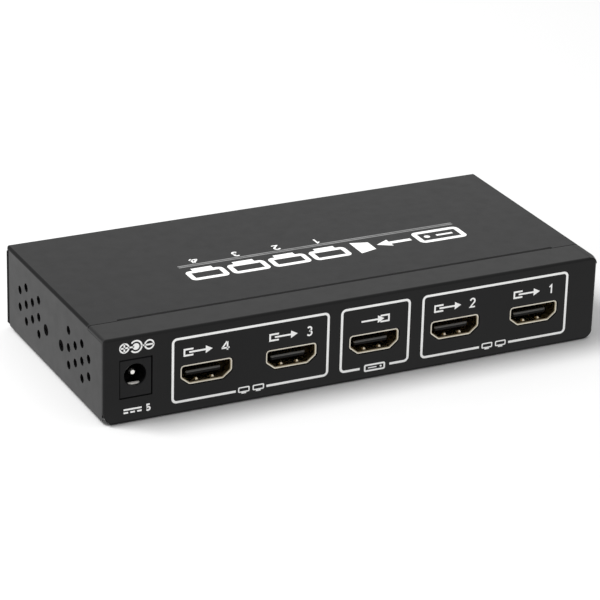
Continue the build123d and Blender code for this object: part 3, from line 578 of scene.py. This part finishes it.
def show_labels():
    """A label above each socket, with the output's figure."""
    low = LABEL_LOW - LABEL_FIGURE_RISE
    height = LABEL_HEIGHT + 2 * LABEL_FIGURE_RISE
    for digit in "4321":
        x = socket_x("output_" + digit)
        signs = label(x, *OUTPUT_LABEL) + figure(digit, x + LABEL_FIGURE, low, height, BAR_LINE)
        show_mark("output_%s_label" % digit, signs, on_front, WHITE_INK)
    show_mark("input_label", label(socket_x("input"), *INPUT_LABEL), on_front, WHITE_INK)


# Centre-positive sign above the power inlet: a plus, an open ring round the centre, and a minus
POLARITY_Z = 21.9
PLUS_X = -69.1
CENTRE_X = -65.8
MINUS_X = -62.0
POLE_RADIUS = 1.25
POLE_LINE = 0.42
CENTRE_RADIUS = 0.95
OPEN_RING_RADIUS = 1.65
OPEN_RING_LINE = 0.45
OPEN_RING_TURN = 140
OPEN_RING_STEPS = 20
OPEN_RING_JOIN = 1.6
CENTRE_JOIN = 0.5


def show_polarity_sign():
    z = POLARITY_Z
    radius = POLE_RADIUS
    signs = [ring((x, z), radius, POLE_LINE) for x in (PLUS_X, MINUS_X)]
    signs += [line((x - radius, z), (x + radius, z), BAR_LINE) for x in (PLUS_X, MINUS_X)]
    signs.append(line((PLUS_X, z - radius), (PLUS_X, z + radius), BAR_LINE))
    signs.append(disc((CENTRE_X, z), CENTRE_RADIUS))
    open_ring = arc((CENTRE_X, z), OPEN_RING_RADIUS, -OPEN_RING_TURN, OPEN_RING_TURN, OPEN_RING_STEPS)
    signs.append(ribbon(open_ring, OPEN_RING_LINE))
    signs.append(line((PLUS_X + radius, z), (CENTRE_X - CENTRE_JOIN, z), POLE_LINE))
    signs.append(line((CENTRE_X + OPEN_RING_JOIN, z), (MINUS_X - radius, z), POLE_LINE))
    show_mark("polarity_sign", signs, on_front, WHITE_INK)


# Direct-current sign below the inlet, a line over three dashes, and the figure 5
DIRECT_LEFT = -69.3
DIRECT_LOW = 2.55
DASH = 1.3
DASH_STEP = 1.95
DASH_COUNT = 3
DASH_RISE = 0.6
LINE_RISE = 1.5
VOLTS_X = -62.8
VOLTS_HEIGHT = 2.2


def show_direct_current_sign():
    dashes = [DIRECT_LEFT + DASH_STEP * i for i in range(DASH_COUNT)]
    upper = DIRECT_LOW + LINE_RISE
    lower = DIRECT_LOW + DASH_RISE
    signs = [line((DIRECT_LEFT, upper), (dashes[-1] + DASH, upper), SIGN_LINE)]
    signs += [line((x, lower), (x + DASH, lower), SIGN_LINE) for x in dashes]
    signs += figure("5", VOLTS_X, DIRECT_LOW, VOLTS_HEIGHT, BAR_LINE)
    show_mark("direct_current_sign", signs, on_front, WHITE_INK)


# Diagram on the top plate: a source, an arrow, a splitter and four screens
TOP_LINE = 1.5
TOP_LOW = 6.2
TOP_HIGH = 14.2
SOURCE_WIDTH = 15.0
SOURCE_RADIUS = 1.0
SOURCE_SLOT = (3.2, 8.4)
SOURCE_SLOT_LINE = 1.0
SOURCE_LAMP = 11.4
SOURCE_LAMP_RADIUS = 0.9
TOP_ARROW = (16.6, 27.5)
TOP_ARROW_HEAD = 4.2
SPLITTER = (29.0, 34.2)
SPLITTER_INPUT_HALF = 2.6
TOP_SCREEN_X = 36.9
TOP_SCREEN_STEP = 12.55
TOP_SCREEN_WIDTH = 11.4
TOP_SCREEN_RADIUS = 0.8
TOP_SCREEN_LIFT = 1.5
TOP_SCREEN_FOOT = (2.6, 8.8)

# Figures of the screens, and the double rule between them and the screens
TOP_FIGURE_X = 4.4
TOP_FIGURE_LOW = -0.5
TOP_FIGURE_HEIGHT = 3.3
TOP_FIGURE_LINE = 0.55
RULE_LENGTH = 86.0
RULE_ROWS = (3.5, 4.4)
RULE_LINE = 0.55


def show_top_print():
    half = TOP_LINE / 2
    low, high = TOP_LOW + half, TOP_HIGH - half
    middle = (low + high) / 2
    signs = [box_line(half, SOURCE_WIDTH - half, low, high, SOURCE_RADIUS, TOP_LINE)]
    signs.append(line((SOURCE_SLOT[0], middle), (SOURCE_SLOT[1], middle), SOURCE_SLOT_LINE))
    signs.append(disc((SOURCE_LAMP, middle), SOURCE_LAMP_RADIUS))
    signs += arrow(*TOP_ARROW, middle, TOP_LINE, TOP_ARROW_HEAD)
    narrow = [(SPLITTER[0], middle + side * SPLITTER_INPUT_HALF) for side in (-1, 1)]
    wide = [(SPLITTER[1], TOP_LOW), (SPLITTER[1], TOP_HIGH)]
    signs.append(filled([narrow[0], *wide, narrow[1]]))
    figures = []
    for place, digit in enumerate("1234"):
        left = TOP_SCREEN_X + TOP_SCREEN_STEP * place
        right = left + TOP_SCREEN_WIDTH
        frame_low = low + TOP_SCREEN_LIFT
        signs.append(box_line(left + half, right - half, frame_low, high, TOP_SCREEN_RADIUS, TOP_LINE))
        foot_left, foot_right = [left + foot for foot in TOP_SCREEN_FOOT]
        signs.append(line((foot_left, low), (foot_right, low), TOP_LINE))
        figures += figure(digit, left + TOP_FIGURE_X, TOP_FIGURE_LOW, TOP_FIGURE_HEIGHT, TOP_FIGURE_LINE)
    show_mark("top_diagram", signs, on_top, WHITE_INK)
    rules = [line((0.0, y), (RULE_LENGTH, y), RULE_LINE) for y in RULE_ROWS]
    show_mark("top_rule", rules, on_top, materials["grey_ink"])
    show_mark("top_figures", figures, on_top, WHITE_INK)


# Corner pieces of the coated sheet
def loft(sections):
    """Closed mesh through sections of equally many points."""
    mesh = bmesh.new()
    rings = [[mesh.verts.new(Vector(point) * mm) for point in section] for section in sections]
    count = len(rings[0])
    for near, far in zip(rings, rings[1:]):
        for i in range(count):
            following = (i + 1) % count
            mesh.faces.new([near[i], near[following], far[following], far[i]])
    mesh.faces.new(rings[0])
    mesh.faces.new(rings[-1][::-1])
    return mesh


# The band's right end, nearly square behind a rounded front corner: place along y and the edge's radius
END_INNER_RADIUS = 2.1
END_SECTIONS = ((-35.3, 1.97), (-35.0, 1.75), (-34.5, 1.35), (-33.9, 1.0), (-33.2, 0.8), (-24.98, 0.8))


def end_section(y, radius):
    """Thin corner from the side round to the top and back along its inner arc."""
    outer = arc((SIDE - radius, TOP - radius), radius, 0, 90)
    inner = arc((SIDE - END_INNER_RADIUS, TOP - END_INNER_RADIUS), END_INNER_RADIUS, 0, 90, ARC_STEPS + 2)
    path = [inner[0], *outer, inner[-1], *inner[-2:0:-1]]
    return [(x, y, z) for x, z in path]


def show_band_end():
    sections = [end_section(y, radius) for y, radius in END_SECTIONS]
    show_piece("band_end_corner", loft(sections), materials["case_coat"])


# Lower corners of the far wall, which are cut short by a small chamfer
TOE_SIZE = 4.0
TOE_CHAMFER = 1.7
TOE_OVERLAP = 0.1


def show_far_toes():
    turn = arc((SIDE - TOE_SIZE, TOE_SIZE), TOE_SIZE - TOE_OVERLAP, 0, -90)
    side_edge = [(SIDE, TOE_CHAMFER), (SIDE, TOE_SIZE)]
    lower_edge = [(SIDE - TOE_SIZE, 0.0), (SIDE - TOE_CHAMFER, 0.0)]
    outline = side_edge + turn + lower_edge
    for name, side in (("far_toe_left", -1), ("far_toe_right", 1)):
        sections = [[(side * x, y, z) for x, z in outline] for y in (REAR - SHEET, REAR)]
        show_piece(name, loft(sections), materials["case_coat"])


dress_nodes()
show_band_end()
show_far_toes()
show_frames()
show_labels()
show_polarity_sign()
show_direct_current_sign()
show_top_print()

# Floor, light and camera, in metres and degrees
FLOOR_HALF = 3.0
FLOOR_COLOUR = grey(0.75)
FLOOR_ROUGHNESS = 0.9
MIRRORED_STRENGTH = 1.0
WORLD_STRENGTH = 0.755
LIGHT_PLACE = (-0.78, 0.30, 1.15)
LIGHT_TARGET = (0.0, 0.0, 0.0)
LIGHT_SIZE = (0.58, 0.40)
LIGHT_WATTS = 18.0
CAMERA_PLACE = (-0.34090, -0.68042, 0.33746)
CAMERA_TURN = (66.7179, -1.4456, -25.9620)
CAMERA_CLIP = (0.01, 20.0)

# Lens for the square photograph
SENSOR_WIDTH = 36.0
LENS = 175.91


def floor_material():
    """Pale matte floor, which glossy surfaces mirror evenly lit."""
    material = new_material("floor")
    shader = shader_of(material)
    shader.inputs["Base Color"].default_value = (*FLOOR_COLOUR, 1)
    shader.inputs["Roughness"].default_value = FLOOR_ROUGHNESS
    shader.inputs["Specular IOR Level"].default_value = 0.0
    rays = node(material, "ShaderNodeLightPath")
    glow = node(material, "ShaderNodeEmission")
    glow.inputs["Strength"].default_value = MIRRORED_STRENGTH
    mirrored = node(material, "ShaderNodeMixShader")
    link(material, rays.outputs["Is Glossy Ray"], mirrored.inputs["Fac"])
    link(material, shader.outputs["BSDF"], mirrored.inputs[1])
    link(material, glow.outputs["Emission"], mirrored.inputs[2])
    output = material.node_tree.nodes["Material Output"]
    link(material, mirrored.outputs["Shader"], output.inputs["Surface"])
    return material


def show_floor():
    """Square floor, just under the case."""
    half = FLOOR_HALF
    corners = ((-half, -half), (half, -half), (half, half), (-half, half))
    mesh = bmesh.new()
    mesh.faces.new([mesh.verts.new((x, y, -INK_SINK * mm)) for x, y in corners])
    floor = show("floor", mesh, floor_material())


def set_world():
    world = bpy.data.worlds.new("studio")
    bpy.context.scene.world = world
    world.use_nodes = True
    back = world.node_tree.nodes["Background"]
    back.inputs["Color"].default_value = (1, 1, 1, 1)
    back.inputs["Strength"].default_value = WORLD_STRENGTH


def set_light():
    """Softbox behind and to the left."""
    light = bpy.data.lights.new("softbox", "AREA")
    light.shape = "RECTANGLE"
    light.size, light.size_y = LIGHT_SIZE
    light.energy = LIGHT_WATTS
    lamp = bpy.data.objects.new("softbox", light)
    bpy.context.scene.collection.objects.link(lamp)
    lamp.location = LIGHT_PLACE
    lamp.rotation_euler = (Vector(LIGHT_TARGET) - Vector(LIGHT_PLACE)).to_track_quat("-Z", "Y").to_euler()


def set_camera():
    view = bpy.data.cameras.new("camera")
    view.sensor_fit = "HORIZONTAL"
    view.sensor_width = SENSOR_WIDTH
    view.lens = LENS
    view.clip_start, view.clip_end = CAMERA_CLIP
    camera = bpy.data.objects.new("camera", view)
    bpy.context.scene.collection.objects.link(camera)
    camera.location = CAMERA_PLACE
    camera.rotation_euler = Euler([math.radians(turn) for turn in CAMERA_TURN])
    bpy.context.scene.camera = camera


show_floor()
set_world()
set_light()
set_camera()
bpy.context.scene.view_settings.view_transform = "Standard"
